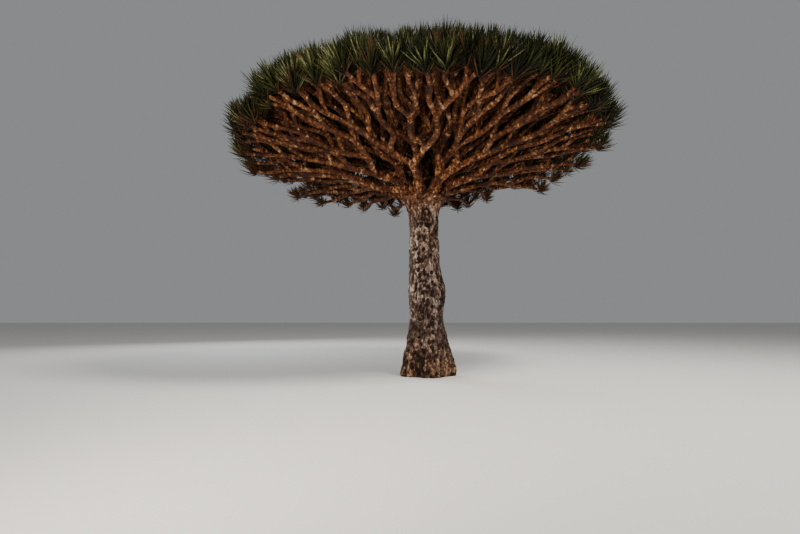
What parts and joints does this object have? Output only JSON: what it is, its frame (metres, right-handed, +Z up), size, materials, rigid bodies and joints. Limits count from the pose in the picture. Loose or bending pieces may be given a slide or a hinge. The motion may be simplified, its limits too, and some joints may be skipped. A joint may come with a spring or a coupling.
{
  "type": "dragon blood tree",
  "caption": "Umbrella-crowned desert tree: one stout trunk, boughs that fork again and again, and a dome of stiff sword-leaf tufts.",
  "frame": {"origin": "middle of the flat cut under the trunk, at ground level", "axes": "+Z up along the trunk; the picture looks along +Y, with +X to its right"},
  "size_m": [6.7805, 6.7837, 5.2567],
  "materials": {
    "bark_grey": "rough grey-brown bark with dark pits and pale and dark blotches",
    "bark_orange": "scaly golden to red-brown bark of the boughs, with ring scars",
    "leaves": "stiff matt leaves, dark green with yellow-green lights"
  },
  "bodies": {
    "root": {"bough_1": "bark_orange", "bough_2": "bark_orange", "bough_3": "bark_orange", "bough_4": "bark_orange", "bough_5": "bark_orange", "bough_6": "bark_orange", "bough_7": "bark_orange", "foliage_1a1": "leaves", "foliage_1a2": "leaves", "foliage_1b1": "leaves", "foliage_1b2": "leaves", "foliage_2a1": "leaves", "foliage_2a2": "leaves", "foliage_2b1": "leaves", "foliage_2b2": "leaves", "foliage_3a1": "leaves", "foliage_3a2": "leaves", "foliage_3b1": "leaves", "foliage_3b2": "leaves", "foliage_4a1": "leaves", "foliage_4a2": "leaves", "foliage_4b1": "leaves", "foliage_4b2": "leaves", "foliage_5a1": "leaves", "foliage_5a2": "leaves", "foliage_5b1": "leaves", "foliage_5b2": "leaves", "foliage_6a1": "leaves", "foliage_6a2": "leaves", "foliage_6b1": "leaves", "foliage_6b2": "leaves", "foliage_7a1": "leaves", "foliage_7a2": "leaves", "foliage_7b1": "leaves", "foliage_7b2": "leaves", "limb_1a": "bark_orange", "limb_1b": "bark_orange", "limb_2a": "bark_orange", "limb_2b": "bark_orange", "limb_3a": "bark_orange", "limb_3b": "bark_orange", "limb_4a": "bark_orange", "limb_4b": "bark_orange", "limb_5a": "bark_orange", "limb_5b": "bark_orange", "limb_6a": "bark_orange", "limb_6b": "bark_orange", "limb_7a": "bark_orange", "limb_7b": "bark_orange", "trunk": "bark_grey"}
  },
  "joints": []
}
